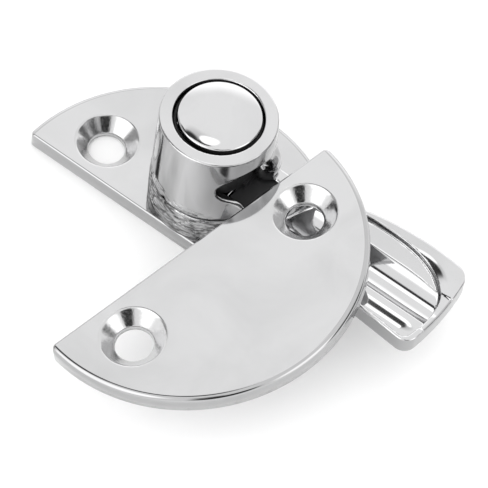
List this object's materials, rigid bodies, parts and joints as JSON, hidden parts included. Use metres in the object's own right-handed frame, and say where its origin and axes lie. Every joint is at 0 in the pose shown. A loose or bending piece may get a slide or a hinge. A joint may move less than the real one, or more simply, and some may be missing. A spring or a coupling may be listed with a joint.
{
  "type": "counter flap latch",
  "caption": "Rotating-arm surface latch: half-disc base with a push-button hub, a swinging arm and a loose half-disc keeper plate.",
  "frame": {"origin": "the hub's axis at the base plate's mounting face", "axes": "+Z along the hub's axis, away from the mounting face; +X along the parked arm and parallel to the base plate's straight edge; +Y from the straight edge towards the round edge"},
  "size_m": [0.0668, 0.0558, 0.0217],
  "materials": {
    "polished_chrome": "polished chrome plate on cast zinc",
    "plain_steel": "plain turned steel",
    "bearing_bronze": "plain bearing bronze",
    "black_nylon": "matte moulded nylon",
    "black_rubber": "matte rubber"
  },
  "bodies": {
    "base": {"base_plate": "polished_chrome", "pedestal": "polished_chrome", "pivot_stud": "plain_steel", "index_plate": "plain_steel", "detent_ring": "plain_steel", "retaining_ring": "plain_steel", "locating_pin_left": "plain_steel", "locating_pin_right": "plain_steel"},
    "arm": {"arm_casting": "polished_chrome", "pivot_bush": "bearing_bronze", "wave_washer": "plain_steel", "spring_seat": "plain_steel", "guide_sleeve": "black_nylon", "detent_ball": "plain_steel", "detent_spring": "plain_steel"},
    "button": {"push_button": "polished_chrome", "button_seal": "black_rubber", "lock_pin": "plain_steel", "button_spring": "plain_steel"},
    "keeper": {"keeper_plate": "polished_chrome"}
  },
  "joints": [
    {"name": "arm_swing", "type": "hinge", "parent": "base", "child": "arm", "pos_m": [0, 0, 0.008], "axis": [0, 0, 1], "range_deg": [-90, 0]},
    {"name": "button_press", "type": "slide", "parent": "arm", "child": "button", "axis": [0, 0, -1], "range_m": [0, 0.002], "stiffness_N_per_m": 800, "springref_m": -0.002, "deforming": ["button_spring"]},
    {"name": "keeper_lift", "type": "slide", "parent": "arm", "child": "keeper", "axis": [0, 0, 1], "range_m": [0, 0.02]}
  ]
}
